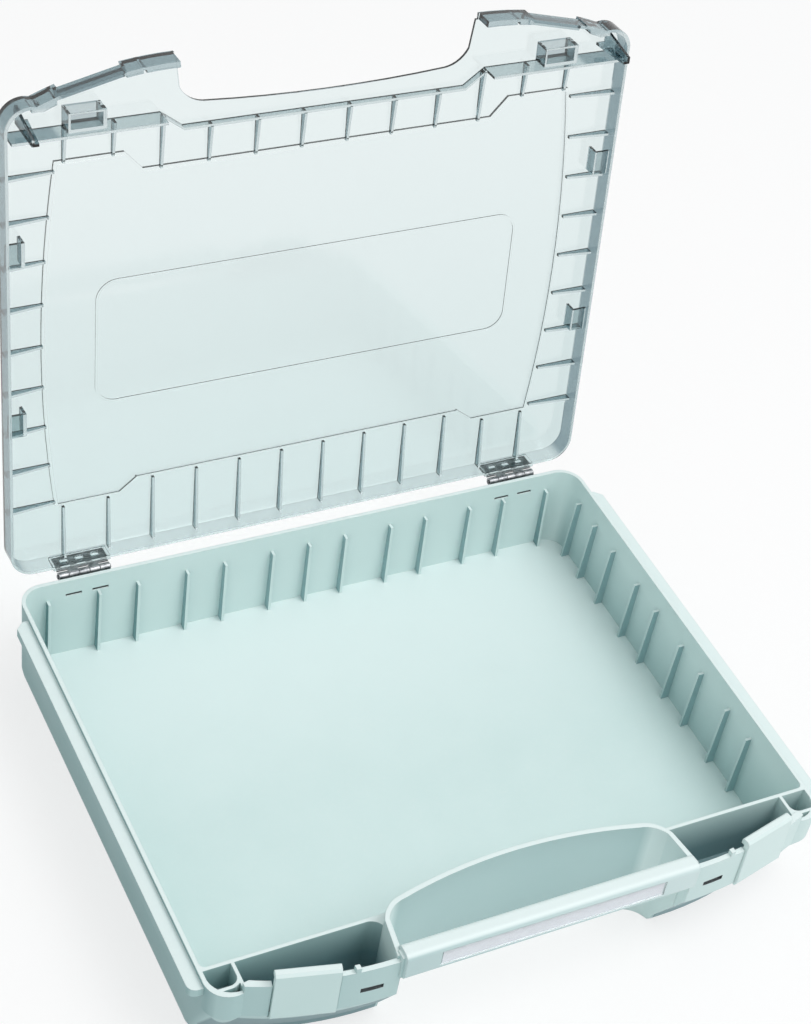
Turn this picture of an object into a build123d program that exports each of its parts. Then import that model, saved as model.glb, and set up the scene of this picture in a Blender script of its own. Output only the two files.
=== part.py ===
from build123d import *
import os
from math import asin, cos, degrees, hypot, radians, sin, sqrt

# Tool case: a moulded tray with a clear lid on two steel hinges, a carrying
# handle and two snap latches. Millimetres, X right, Y back, Z up, origin under
# the middle of the tray. The lid is modelled shut and then turned open.

# Tray, outside
body_width = 352.4         # at the rim
rear_face = 148.2          # outer face of the rear wall
front_face = -157.0        # front of the tray beside the hand opening
rim_height = 58.0
wall = 2.2
floor_thickness = 3.0
rear_radius = 14.0         # plan radius of the rear corners
corner_reach = 16.2        # from the side to where a front corner begins
front_rise = 3.6           # the front sweeps back this much half way out
front_sweep = 14.6         # and this much at its outer end
corner_rise = 3.2          # from there to the middle of the corner's arc
corner_side = 3.8          # from the side to the middle of the corner's arc
corner_depth = 14.0        # the whole corner, front to back
knee_height = 39.0         # the front falls back below this height
knee_inset = 0.4
heel_height = 8.0          # the bottom edge is rounded below this height
heel_inset = 1.0
heel_setback = 18.0        # how far back the front is at the heel
heel_steps = 3
foot_inset = 7.0

# Tray, inside
inside_draft = 1.2         # each inner wall leans in this much at the floor
rim_corner = 3.0           # plan radius of the compartment's front corners
corner_backing = 3.4       # wall left where those corners meet the sloping front
pocket_depth = 35.0        # from the front face to the main compartment
divider_thickness = 2.0
pocket_floor = 22.0
pocket_corner = 8.0        # plan radius of a pocket's corner beside the arch

# Ribs on the inner walls of the tray
rib_thickness = 1.6
rib_height = 46.0
rib_foot = 5.0
rib_head = 2.6
rib_pitch = 52.6           # from one pair to the next
rib_pair = 23.1            # between the two ribs of a pair
rib_start = 18.2           # from the rear wall to the first rib on a side wall
rib_lead = 20.5            # and from there to the first pair
side_rib_pairs = 4

# Hand opening, arch wall and handle
arch_half = 86.0           # outside of the arch wall at the handle
arch_wall = 2.6
arch_rise = 9.0            # middle of the arch behind the divider's rear face
arch_shoulder = 69.0       # half width where the shallow arch meets its rounded shoulders
arch_drop = 11.0           # front to back, of a rounded shoulder
arch_lean = 3.2            # the sides lean in this much at the top of the arch
arch_step = 0.5            # the rounded shoulders end this far behind the divider's rear face
arch_bend_out = 0.68       # middle of a rounded shoulder, as a share of its width
arch_bend_drop = 0.42      # and of its drop
grip_proud = 3.4           # the handle stands this much in front of the tray
grip_depth = 10.4
grip_bottom = 18.0         # below the top of the case
grip_radius = 3.4
grip_wall = 2.4
grip_gap = 0.1
label_half = 64.0
label_width = 10.4
label_drop = 3.6           # from the top of the handle to the label
label_sink = 1.4           # depth of the pocket for the label
card_thickness = 0.4
card_margin = 0.9
window_thickness = 0.8

# Corner compartments beside the pockets
corner_start = 14.5        # from the inner side wall to the corner compartment
corner_wall = 1.8
corner_front = 12.2        # from the divider's front face to its front end
corner_radius = 5.0
corner_floor = 40.0

# Shoulders of the front wall beside each latch
shoulder_rise = 8.0        # between handle and latch
outer_shoulder_rise = 5.0
shoulder_thickness = 3.0
tooth_start = 9.5          # from the latch's bay to the far side of the tooth
tooth_width = 2.6
tooth_rise = 3.0           # above the shoulder
slot_width = 12.0          # slot in the front wall under the inboard shoulder
slot_height = 3.0
slot_start = 6.0           # from the outside of the arch wall
slot_drop = 9.0            # below the rim

# Side rails
rail_reach = 7.3           # from the side wall
rail_drop = 2.6            # from the rim to the top of the rail
rail_thickness = 5.2
rail_start = 22.2          # from the rear face
rail_end = 25.4            # from the front face
rail_round = 5.0
rail_slant = 4.2

# Latches
latch_inset = 44.7         # from the tray's side to the latch's middle
latch_width = 32.6
latch_thickness = 3.2
latch_proud = 0.6          # how far it stands in front of the tray's face
latch_lower = 1.6          # its lower edge is this far below the knee
latch_gap = 0.6            # each side of a latch in its bay
hook_depth = 2.0
hook_height = 3.7
hook_tip = 1.0             # slant on the upper edge of the hook
latch_round = 1.4
foot_taper = 1.0           # the lower edge of the plate slants back this much
foot_rise = 2.0            # over this height
bay_depth = 8.0
bay_back = 9.0             # height of the wall behind a bay, above the pin
bay_margin = 2.4           # from the latch's lower edge to the floor of its bay
pivot_rise = 2.6           # of the pin above the knee
pivot_setback = 3.2        # of the pin behind the tray's front face
latch_pin_radius = 1.5
pin_clearance = 0.05
boss_radius = 3.0
cheek = 3.0                # how far a latch pin reaches into each side of its bay

# Lid
lid_rise = 12.4            # flat band of the lid above the tray's rim
panel_rise = 1.6           # raised panel above the band
lid_wall = 1.6
lid_gap = 0.3              # between the lid's edge and the tray's rim
lid_setback = 4.2          # of the lid's wings behind the tray's front face
lid_side_gap = 0.2         # the lid is this much narrower than the tray on each side
panel_inset = 29.0         # from the lid's side to the panel at its ends
panel_bulge = 7.0          # and this much less half way along
panel_rear_inset = 35.0
panel_step_half = 100.0    # the middle of the panel's rear edge comes forward
panel_step_slant = 10.0
panel_step = 8.0
panel_front_inset = 32.6   # from the divider to the middle part of the panel's front edge
panel_front_half = 100.0   # half width of that middle part
panel_front_slant = 10.0
panel_front_step = 11.0    # the rest of the edge lies this much further forward
fin_pitch = 26.0
fin_count = 12
side_fin_pitch = 25.6
side_fin_count = 9
fin_depth = 4.6
fin_tip = 2.0
fin_thickness = 1.4
overlap = 0.2              # how far a piece of one moulding runs into the next
past = 1.0                 # how far a cut runs past what it cuts
lip_thickness = 1.5
lip_clearance = 1.0
lip_reach = 1.6            # how far the lip reaches below the tray's rim
lip_centre_depth = 4.0
lip_jog = 6.0
arch_top_gap = 0.3         # between the arch wall and the lid over it
cut_margin = 0.6           # room between the lid and the top of the arch wall or the handle
cut_inset = 1.0            # the lid covers the arch wall but for this much at its sides
cut_step = -0.5            # the lid's cut-out is flatter than the arch: its rounded corners end here
cut_rise = 2.3             # and its middle here, both behind the divider's rear face
frame_half = 124.5         # plain raised frame on the panel
frame_depth = 77.0
frame_start = 97.0         # from the lid's rear edge
frame_radius = 12.0
frame_line = 1.2
frame_height = 0.5
clip_thickness = 3.4       # thick parts of the lid's front edge
clip_width = 8.4           # inboard of a latch
outer_clip_width = 12.5    # outboard of it
end_cap_width = 17.4       # beside the hand opening
clip_depth = 22.0
ledge_drop = 2.7           # the latch ledge lies this much below the band
ledge_depth = 4.2
ledge_margin = 0.7         # the ledge lies this much behind the hook at rest
pad_width = 14.0           # stop pads on the lid's sides
pad_reach = 9.0
pad_rise = 3.0             # above the tray's rim
pad_start = 99.0           # from the rear face to the first pad
pad_pitch = 104.0
tab_width = 20.0           # hollow tabs in front of the lip
tab_depth = 11.0
tab_rise = 0.8             # above the tray's rim
tab_wall = 1.6
tab_offset = 2.0           # outboard of the latch's middle
prong_inset = 9.0          # L-shaped prongs in the lid's front corners, from the tray's side
prong_gap = 1.0            # in front of the divider
prong_reach = 6.4          # across, at the root
prong_length = 9.0         # front to back, at the root
prong_tip = 3.8            # both, at the tip
prong_wall = 1.6
prong_clear = 3.5          # over the floor of the corner compartment

# Hinges
hinge_inset = 41.2         # from the tray's side to the middle of a hinge
hinge_width = 30.0
knuckles = 5
knuckle_gap = 0.15
hinge_pin_radius = 1.2
knuckle_radius = 2.4
leaf_thickness = 1.0
pivot_back = 4.0           # pin axis behind the rear wall
pivot_drop = 1.7           # and below the rim
leaf_root = 2.6            # plates and their seats stop this far from the axis
seat_margin = 1.5
tray_leaf_drop = 13.0      # lower edge of the tray's leaf below the axis
lid_leaf_rise = 12.0       # upper edge of the lid's leaf above the axis
tongue_width = 9.0
tongue_height = 1.3
tongue_spacing = 15.6
tongue_drop = 9.6          # below the axis
slot_play = 0.2
tongue_short = 0.8         # a tongue ends this far behind the inner face
window_width = 5.0
window_height = 3.4
window_rise = 6.6
window_pitch = 9.0
peg_play = 0.5
peg_proud = 0.5

open_angle = 96.4

half = body_width / 2
rear_inner = rear_face - wall
inner_half = half - wall
divider_face = front_face + pocket_depth
divider_front = divider_face - divider_thickness
arch_apex = divider_face + arch_rise
lid_band_top = rim_height + lid_rise
case_height = lid_band_top + panel_rise
band_inner = lid_band_top - lid_wall
arch_top = band_inner - arch_top_gap
above = case_height + past
grip_front = front_face - grip_proud
grip_rear = grip_front + grip_depth
latch_x = half - latch_inset
latch_bottom = knee_height - latch_lower
pivot_height = knee_height + pivot_rise
gate = latch_width / 2 + latch_gap
hook_reach = latch_thickness - latch_proud + hook_depth
hinge_x = half - hinge_inset
axis_y = rear_face + pivot_back
axis_z = rim_height - pivot_drop
seat_face = axis_y - knuckle_radius
lid_side = half - lid_side_gap - lid_wall
lid_rear = rear_face - lid_side_gap


def mirrored(solid):
    return mirror(solid, about=Plane.YZ)


def both(solid):
    return solid + mirrored(solid)


def block(x0, x1, y0, y1, z0, z1):
    return Pos((x0 + x1) / 2, (y0 + y1) / 2, (z0 + z1) / 2) * Box(x1 - x0, y1 - y0, z1 - z0)


def prism(face, bottom, top):
    return Pos(0, 0, bottom) * extrude(face, top - bottom, dir=(0, 0, 1))


def polygon(points):
    return make_face(Polyline(*points, close=True).edges())


def closed(runs):
    """Face inside a closed loop of straight runs of two points and arcs of three."""
    edges = [Line(*run) if len(run) == 2 else ThreePointArc(*run) for run in runs]
    return Face(Wire([edge.edge() for edge in edges]))


def plan(front, right, rear):
    """Symmetric plan: across the front, up the right side, across the rear, down the left."""
    left = [[(-x, y) for x, y in reversed(run)] for run in reversed(right)]
    return closed([front] + right + [rear] + left)


def rod(radius, length):
    return Rot(0, 90, 0) * Cylinder(radius, length)


def front_points(setback=0.0, inset=0.0):
    """Right-hand half of the front in plan, from the hand opening to the side."""
    outer_x = half - corner_reach - inset
    outer_y = front_face + front_sweep + setback
    middle_x = (arch_half + outer_x + inset) / 2
    return [
        (arch_half, front_face + setback),
        (middle_x, front_face + front_rise + setback),
        (outer_x, outer_y),
        (half - corner_side - inset, outer_y + corner_rise),
        (half - inset, outer_y + corner_depth),
    ]


def outline(setback=0.0, inset=0.0, radius=rear_radius):
    """Closed plan of the case: straight across the middle, swept at the front."""
    rear = rear_face - inset
    side = half - inset
    turn = radius * (1 - sqrt(0.5))
    start, middle, outer, corner, end = front_points(setback, inset)
    right = [
        [start, middle, outer],
        [outer, corner, end],
        [end, (side, rear - radius)],
        [(side, rear - radius), (side - turn, rear - turn), (side - radius, rear)],
    ]
    return plan([(-start[0], start[1]), start], right, [(side - radius, rear), (radius - side, rear)])


def level(height, face):
    return Pos(0, 0, height) * face


def front_circle():
    """Centre and radius of the arc that the swept front follows."""
    (ax, ay), (bx, by), (cx, cy) = front_points()[:3]
    d = 2 * (ax * (by - cy) + bx * (cy - ay) + cx * (ay - by))
    a2, b2, c2 = ax * ax + ay * ay, bx * bx + by * by, cx * cx + cy * cy
    x = (a2 * (by - cy) + b2 * (cy - ay) + c2 * (ay - by)) / d
    y = (a2 * (cx - bx) + b2 * (ax - cx) + c2 * (bx - ax)) / d
    return x, y, hypot(ax - x, ay - y)


circle_x, circle_y, circle_radius = front_circle()


def front_y(x):
    return circle_y - sqrt(circle_radius ** 2 - (x - circle_x) ** 2)


latch_turn = degrees(asin((latch_x - circle_x) / circle_radius))
latch_frame = Pos(latch_x, front_y(latch_x), 0) * Rot(0, 0, latch_turn)
gate_run = gate * cos(radians(latch_turn))


def tray_body(back=0.0):
    """Outer form: upright to the knee, falling back to the heel, rounded at the foot."""
    knee = level(knee_height, outline(knee_inset + back, knee_inset))
    body = loft([knee, level(rim_height, outline(back))], ruled=True)
    upper = level(heel_height, outline(heel_setback + back, heel_inset))
    body += loft([upper, knee], ruled=True)
    for step in range(heel_steps):
        angle = radians(90 * (step + 1) / heel_steps)
        inset = heel_inset + (foot_inset - heel_inset) * (1 - cos(angle))
        height = heel_height * (1 - sin(angle))
        lower = level(height, outline(heel_setback + back + inset - heel_inset, inset))
        body += loft([lower, upper], ruled=True)
        upper = lower
    return body


def compartment_plan(inset, corner):
    """Plan of the main compartment with rounded corners."""
    side = inner_half - inset
    rear = rear_inner - inset
    turn = rear_radius - wall
    slant = corner * (1 - sqrt(0.5))
    bend = turn * (1 - sqrt(0.5))
    front = divider_face
    right = [
        [(side - corner, front), (side - slant, front + slant), (side, front + corner)],
        [(side, front + corner), (side, rear - turn)],
        [(side, rear - turn), (side - bend, rear - bend), (side - turn, rear)],
    ]
    across = [(side - turn, rear), (turn - side, rear)]
    return plan([(corner - side, front), (side - corner, front)], right, across)


def compartment():
    low = level(floor_thickness, compartment_plan(inside_draft, rim_corner))
    high = level(rim_height, compartment_plan(0, rim_corner))
    inside = loft([low, high], ruled=True) & tray_body(corner_backing)
    return inside


def arch_plan(inset, front, step=arch_step, rise=arch_rise):
    """Plan of the hand opening's wall: a shallow arch with rounded shoulders."""
    shoulder = (arch_shoulder - inset / 2, divider_face + step - inset)
    side = arch_half - arch_lean - inset
    low = (side, divider_face - arch_drop)
    bend = (shoulder[0] + arch_bend_out * (low[0] - shoulder[0]),
            shoulder[1] + arch_bend_drop * (low[1] - shoulder[1]))
    end = (arch_half - inset, front)
    crown = [shoulder, (0, divider_face + rise - inset), (-shoulder[0], shoulder[1])]
    return plan([(-end[0], end[1]), end], [[end, low], [low, bend, shoulder]], crown)


def setback_at(height):
    """How far back the outer front lies at a height between heel and knee."""
    share = (height - heel_height) / (knee_height - heel_height)
    return heel_setback + (knee_inset - heel_setback) * share


def pocket_plan(setback):
    """Plan of the right-hand pocket; the arch wall covers its inboard end."""
    start = arch_half - 2 * arch_lean
    end = inner_half - corner_start - corner_wall
    y = setback + wall
    turn = pocket_corner * (1 - sqrt(0.5))
    back = [(start, divider_front - pocket_corner), (start + turn, divider_front - turn),
            (start + pocket_corner, divider_front)]
    middle = (arch_half + end) / 2
    return closed([
        back,
        [back[2], (end, divider_front)],
        [(end, divider_front), (end, front_y(end) + y)],
        [(end, front_y(end) + y), (middle, front_y(middle) + y), (arch_half, front_face + y)],
        [(arch_half, front_face + y), (start, front_face + y)],
        [(start, front_face + y), back[0]],
    ])


def pocket_space():
    low = level(pocket_floor, pocket_plan(setback_at(pocket_floor)))
    knee = level(knee_height, pocket_plan(knee_inset))
    high = level(above, pocket_plan(0))
    space = loft([low, knee], ruled=True) + loft([knee, high], ruled=True)
    reach = gate + wall
    guard = block(-reach, reach, -bay_depth, bay_depth + wall, 0, pivot_height + bay_back)
    return space - latch_frame * guard


def corner_plan(grow):
    """Plan of the open corner compartment, its front inner corner rounded."""
    start = inner_half - corner_start - grow
    side = inner_half
    front = divider_front - corner_front - grow
    radius = corner_radius + grow
    turn = radius * (1 - sqrt(0.5))
    return closed([
        [(start, divider_front), (side, divider_front)],
        [(side, divider_front), (side, front)],
        [(side, front), (start + radius, front)],
        [(start + radius, front), (start + turn, front + turn), (start, front + radius)],
        [(start, front + radius), (start, divider_front)],
    ])


def corner_space():
    """The corner compartment and the narrow gap between its wall and the tray's corner."""
    start = inner_half - corner_start - corner_wall
    inside = prism(outline(wall, wall, rear_radius - wall), corner_floor, above)
    outer_gap = inside & block(start + corner_wall, half, front_face, divider_front - corner_front, 0, above)
    outer_gap -= prism(corner_plan(corner_wall), 0, above)
    return outer_gap + (prism(corner_plan(0), corner_floor, above) & inside)


def front_band(x0, x1, rise):
    """Length of the front wall raised above the rim."""
    top = rim_height + rise
    outer = prism(outline(), rim_height, top)
    inner = prism(outline(shoulder_thickness, shoulder_thickness), 0, above)
    return (outer - inner) & block(x0, x1, front_face - past, divider_front, 0, above)


def shoulders():
    low_edge = latch_x - gate_run
    high_edge = latch_x + gate_run
    tooth = low_edge - tooth_start
    parts = front_band(arch_half - arch_wall, low_edge + past, shoulder_rise)
    parts += front_band(high_edge - past, half - corner_reach + overlap, outer_shoulder_rise)
    return parts + front_band(tooth, tooth + tooth_width, shoulder_rise + tooth_rise)


def tray_rib():
    """Upright rib that tapers towards its top, standing off a wall along +X."""
    height = rib_height - floor_thickness
    face = polygon([(-wall, 0), (rib_foot, 0), (rib_head, height), (-wall / 2, height)])
    return extrude(Plane.XZ * face, rib_thickness / 2, both=True)


def tray_ribs():
    """Ribs in pairs along the rear wall and both side walls."""
    rib = tray_rib()
    base = floor_thickness - overlap
    face = rear_inner - inside_draft
    side = inner_half - inside_draft
    rear = [0.0]
    for k in range(int((side - rear_radius) // rib_pitch)):
        rear += [(k + 1) * rib_pitch, k * rib_pitch + rib_pair]
    ribs = Part()
    for x in rear:
        for place in {x, -x}:
            ribs += Pos(place, face, base) * Rot(0, 0, -90) * rib
    start = rear_inner - rib_start
    rows = [start]
    for k in range(side_rib_pairs):
        second = start - rib_lead - k * rib_pitch
        rows += [second, second - rib_pair]
    for y in rows:
        ribs += Pos(-side, y, base) * rib
        ribs += Pos(side, y, base) * Rot(0, 0, 180) * rib
    return ribs


def side_rail():
    top = rim_height - rail_drop
    rail = block(half - wall / 2, half + rail_reach, front_face + rail_end, rear_face - rail_start,
                 top - rail_thickness, top)
    outer = rail.edges().filter_by(Axis.Z).group_by(Axis.X)[-1].sort_by(Axis.Y)
    rail = fillet(outer[0], min(rail_round, rail_reach - overlap))
    outer = rail.edges().filter_by(Axis.Z).group_by(Axis.X)[-1].sort_by(Axis.Y)
    return chamfer(outer[-1], min(rail_slant, rail_reach - overlap))


def handle_bridge():
    """Bar of the tray's moulding that the grip is clipped over."""
    reach = arch_half - arch_wall / 2
    return block(-reach, reach, grip_front + grip_wall, grip_rear - grip_wall, case_height - grip_bottom,
                 case_height - grip_wall)


def hinge_seat():
    reach = hinge_width / 2 + seat_margin
    return block(hinge_x - reach, hinge_x + reach, rear_inner, seat_face,
                 axis_z - tray_leaf_drop - seat_margin, axis_z - leaf_root)


def tongue_places():
    return [hinge_x + side * tongue_spacing / 2 for side in (-1, 1)]


def hinge_slots():
    cut = Part()
    low = axis_z - tongue_drop
    for x in tongue_places():
        cut += block(x - tongue_width / 2 - slot_play, x + tongue_width / 2 + slot_play, rear_inner - wall,
                     seat_face + wall, low - slot_play, low + tongue_height + slot_play)
    return cut


def latch_bay():
    bay = block(-gate, gate, -front_sweep, bay_depth, latch_bottom - bay_margin, above)
    pin = Pos(0, pivot_setback, pivot_height) * rod(latch_pin_radius, 2 * (gate + cheek))
    return latch_frame * (bay + pin)


def front_slot():
    x = arch_half + slot_start
    low = rim_height - slot_drop
    back = front_y(x + slot_width) + wall + overlap
    return block(x, x + slot_width, front_face - past, back, low, low + slot_height)


def hand_opening():
    reach = arch_half - arch_wall
    arch = prism(arch_plan(arch_wall, front_face), -past, above)
    return arch + block(-reach, reach, front_face - grip_depth, grip_rear + grip_gap, -past, above)


def base_tray():
    envelope = tray_body()
    body = envelope - compartment() - both(pocket_space()) - both(corner_space())
    envelope += prism(outline(), rim_height, above)
    body += both(shoulders())
    body += prism(arch_plan(0, front_face + wall), 0, arch_top) & envelope
    body += tray_ribs() & envelope
    body -= hand_opening()
    body += both(side_rail()) + both(hinge_seat())
    body -= both(latch_bay()) + both(hinge_slots()) + both(front_slot())
    body += handle_bridge()
    return body


def handle_grip():
    """Rounded cover over the bridge, with a pocket for the label in its face."""
    reach = arch_half - arch_wall - grip_gap
    low = case_height - grip_bottom
    grip = block(-reach, reach, grip_front, grip_rear, low, case_height)
    grip = fillet(grip.edges().filter_by(Axis.X), grip_radius)
    core = block(-arch_half, arch_half, grip_front + grip_wall, grip_rear - grip_wall, low - past,
                 case_height - grip_wall)
    top = case_height - label_drop
    label = block(-label_half, label_half, grip_front - past, grip_front + label_sink, top - label_width, top)
    return grip - core - label


def label_card():
    back = grip_front + label_sink
    reach = label_half - card_margin
    top = case_height - label_drop - card_margin / 2
    return block(-reach, reach, back - card_thickness, back, top - label_width + card_margin, top)


def label_window():
    back = grip_front + label_sink - card_thickness - grip_gap
    reach = label_half - grip_gap
    top = case_height - label_drop - grip_gap
    return block(-reach, reach, back - window_thickness, back, top - label_width + 2 * grip_gap, top)


def latch():
    """Snap lever: a plate with a hook at its top, a tapered foot and a bored boss."""
    back = latch_thickness - latch_proud
    front = -latch_proud
    under = case_height - hook_height
    tip = back + hook_depth
    face = polygon([
        (front, latch_bottom + foot_rise), (front + foot_taper, latch_bottom), (back, latch_bottom),
        (back, under), (tip, under), (tip, case_height - hook_tip), (tip - hook_tip, case_height),
        (front + latch_round, case_height), (front, case_height - latch_round),
    ])
    plate = extrude(Plane.YZ * face, latch_width / 2, both=True)
    place = Pos(0, pivot_setback, pivot_height)
    bore = place * rod(latch_pin_radius + pin_clearance, latch_width + 2 * past)
    return latch_frame * (plate + place * rod(boss_radius, latch_width) - bore)


def latch_pin():
    return latch_frame * Pos(0, pivot_setback, pivot_height) * rod(latch_pin_radius, 2 * (gate + cheek))


def lid_outline(inset):
    """Plan of the lid; its wings lie behind the raised front of the tray."""
    return outline(lid_setback + inset, lid_side_gap + inset, rear_radius - inset)


def panel_plan(inset):
    """Plan of the raised panel, with bowed sides and a step in its front and rear edges."""
    side = half - panel_inset - inset
    rear = rear_face - panel_rear_inset - inset
    step = rear - panel_step
    front = divider_face + panel_front_inset + inset
    low = front - panel_front_step
    turn = (panel_front_half, front)
    outer = (panel_front_half + panel_front_slant, low)
    corner = (panel_step_half + panel_step_slant, rear)
    right = [
        [turn, outer],
        [outer, (side, low)],
        [(side, low), (side + panel_bulge, (low + rear) / 2), (side, rear)],
        [(side, rear), corner],
        [corner, (panel_step_half, step)],
    ]
    return plan([(-turn[0], front), turn], right, [(panel_step_half, step), (-panel_step_half, step)])


def hand_cut():
    """The lid covers the arch wall's top, stops behind the handle and keeps clear of both."""
    reach = arch_half - arch_wall / 2 + cut_margin
    cut = prism(arch_plan(cut_inset, front_face, cut_step, cut_rise), rim_height - wall, above)
    cut += block(-reach, reach, front_face - past, grip_rear + cut_margin, rim_height - wall, above)
    return cut + prism(arch_plan(-cut_margin, front_face), rim_height - wall, band_inner)


def latch_room(grow):
    """Room for a latch in front of the lid's ledge; grow adds the walls round it."""
    edge = hook_reach + ledge_margin + grow
    reach = gate + grow
    low = block(-reach, reach, -bay_depth, edge, 0, above)
    high = block(-reach, reach, -bay_depth, edge + ledge_depth, lid_band_top - ledge_drop - grow, above)
    return latch_frame * (low + high)


def lid_lip():
    """Locating lip behind the divider, stepping back round the arch."""
    wing_y = divider_face + lip_clearance
    middle_y = arch_apex + lip_clearance
    turn_x = arch_half + lip_jog
    inner_x = arch_half - lip_jog
    top = band_inner + overlap
    shallow = band_inner - lip_centre_depth
    wing = block(turn_x, inner_half - lip_clearance, wing_y, wing_y + lip_thickness,
                 rim_height - lip_reach, top)
    slope = polygon([(turn_x, wing_y), (turn_x, wing_y + lip_thickness), (inner_x, middle_y + lip_thickness),
                     (inner_x, middle_y)])
    centre = block(-inner_x, inner_x, middle_y, middle_y + lip_thickness, shallow, top)
    return both(wing + prism(slope, shallow, top)) + centre


def fin(start, end):
    """Stiffening fin along +X, deeper at its outer end."""
    top = band_inner + overlap
    face = polygon([(start, top), (end, top), (end, band_inner - fin_tip), (start, band_inner - fin_depth)])
    return extrude(Plane.XZ * face, fin_thickness / 2, both=True)


def lid_fins():
    """Fins between the lid's edge or lip and the raised panel."""
    fins = Part()
    panel_side = half - panel_inset
    panel_rear = rear_face - panel_rear_inset
    panel_front = divider_face + panel_front_inset
    panel_low = panel_front - panel_front_step
    for k in range(fin_count):
        x = (k - (fin_count - 1) / 2) * fin_pitch
        stop = panel_rear if abs(x) > panel_step_half else panel_rear - panel_step
        fins += Pos(x, 0, 0) * Rot(0, 0, 90) * fin(lid_rear - lid_wall + overlap, stop)
        lip = divider_face if abs(x) > arch_half else arch_apex
        start = lip + lip_clearance + lip_thickness - overlap
        stop = panel_front if abs(x) < panel_front_half else panel_low
        fins += Pos(x, 0, 0) * Rot(0, 0, 90) * fin(start, stop)
    middle = (panel_rear + panel_low) / 2
    run = (panel_rear - panel_low) / 2
    for k in range(side_fin_count):
        offset = (k - (side_fin_count - 1) / 2) * side_fin_pitch
        share = min(1, abs(offset) / run)
        row = fin(-lid_side - overlap, -panel_side - panel_bulge * (1 - share ** 2))
        fins += both(Pos(0, middle + offset, 0) * row)
    return fins


def panel_frame():
    """Plain rounded frame line on the panel, with nothing in it."""
    centre = lid_rear - frame_start - frame_depth / 2
    line = 2 * frame_line
    outer = RectangleRounded(2 * frame_half, frame_depth, frame_radius)
    inner = RectangleRounded(2 * frame_half - line, frame_depth - line, frame_radius - frame_line)
    low = case_height - lid_wall - frame_height
    return Pos(0, centre, 0) * prism(outer - inner, low, low + frame_height + overlap)


def front_clips():
    """Thick parts of the lid's front edge, beside each latch and at the hand opening."""
    band = prism(lid_outline(0), rim_height + lid_gap, band_inner + overlap)
    band -= prism(lid_outline(clip_thickness), 0, above)
    inner = latch_x - gate_run - lid_wall
    outer = latch_x + gate_run + lid_wall
    spans = [(arch_half - arch_lean, arch_half + end_cap_width), (inner - clip_width, inner + overlap),
             (outer - overlap, outer + outer_clip_width)]
    clips = Part()
    for x0, x1 in spans:
        clips += band & block(x0, x1, front_face, front_face + clip_depth, 0, above)
    return clips


def lid_tab(inset, top):
    """Tab in front of the lip; with an inset, the hollow that is open above."""
    x0 = latch_x + tab_offset - tab_width / 2 + inset
    x1 = x0 + tab_width - 2 * inset
    y1 = divider_face + lip_clearance + overlap - inset
    y0 = y1 - tab_depth + 2 * inset
    return block(x0, x1, y0, y1, rim_height + tab_rise + inset, top)


def corner_prong():
    """Tapered L-shaped prong that goes down into the tray's corner compartment when the lid is shut."""
    x1 = half - prong_inset
    y1 = divider_front - prong_gap

    def section(reach, length):
        inner_x, inner_y = x1 - prong_wall, y1 - prong_wall
        return polygon([(x1, y1), (x1 - reach, y1), (x1 - reach, inner_y), (inner_x, inner_y),
                        (inner_x, y1 - length), (x1, y1 - length)])

    low = level(corner_floor + prong_clear, section(prong_tip, prong_tip))
    high = level(band_inner + overlap, section(prong_reach, prong_length))
    return loft([low, high], ruled=True)


def stop_pads():
    """Stops on the lid's sides, each a small shelf hung from the band."""
    pads = Part()
    low = rim_height + pad_rise
    start = lid_side - pad_reach
    for y in (rear_face - pad_start, rear_face - pad_start - pad_pitch):
        near, far = y - pad_width / 2, y + pad_width / 2
        pads += block(start, lid_side + overlap, near, far, low, low + lid_wall)
        pads += block(start, start + lid_wall, near, far, low, band_inner + overlap)
    return pads


def window_places():
    return [hinge_x + k * window_pitch for k in (-1, 0, 1)]


def lid_seat():
    """Pad on the lid's rear wall for its leaf, with a peg for each window."""
    reach = hinge_width / 2 + seat_margin
    low = axis_z + leaf_root
    seat = block(hinge_x - reach, hinge_x + reach, lid_rear - lid_wall, seat_face, low, band_inner)
    for x in window_places():
        edge = window_width / 2 - peg_play
        seat += block(x - edge, x + edge, seat_face - overlap, seat_face + leaf_thickness + peg_proud,
                      axis_z + window_rise + peg_play, axis_z + window_rise + window_height - peg_play)
    return seat


def lid_shell():
    bottom = rim_height + lid_gap
    lid = prism(lid_outline(0), bottom, lid_band_top)
    lid -= prism(lid_outline(lid_wall), bottom - past, band_inner) - both(latch_room(lid_wall))
    lid += prism(panel_plan(0), lid_band_top - overlap, case_height)
    lid -= prism(panel_plan(lid_wall), band_inner - overlap, case_height - lid_wall)
    tab = lid_tab(0, band_inner + overlap)
    lid += both(front_clips() + tab + corner_prong() + stop_pads() + lid_seat())
    lid += lid_lip() + lid_fins() + panel_frame()
    return lid - hand_cut() - both(latch_room(0) + lid_tab(tab_wall, above))


def knuckle(index):
    """One rolled knuckle, counted along the pin: its middle, half its length and its ring."""
    length = hinge_width / knuckles
    x = hinge_x - hinge_width / 2 + (index + 0.5) * length
    reach = length / 2 - knuckle_gap
    return x, reach, Pos(x, axis_y, axis_z) * rod(knuckle_radius, 2 * reach)


def hinge_bore():
    return Pos(hinge_x, axis_y, axis_z) * rod(hinge_pin_radius + pin_clearance, hinge_width + 2 * past)


def tray_leaf():
    left = hinge_x - hinge_width / 2
    back = seat_face + leaf_thickness
    top = axis_z - leaf_root
    leaf = block(left, left + hinge_width, seat_face, back, axis_z - tray_leaf_drop, top)
    for index in range(0, knuckles, 2):
        x, reach, ring = knuckle(index)
        leaf += ring + block(x - reach, x + reach, seat_face, back, top - overlap, axis_z)
    low = axis_z - tongue_drop
    for x in tongue_places():
        leaf += block(x - tongue_width / 2, x + tongue_width / 2, rear_inner + tongue_short,
                      seat_face + overlap, low, low + tongue_height)
    return leaf - hinge_bore()


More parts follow.
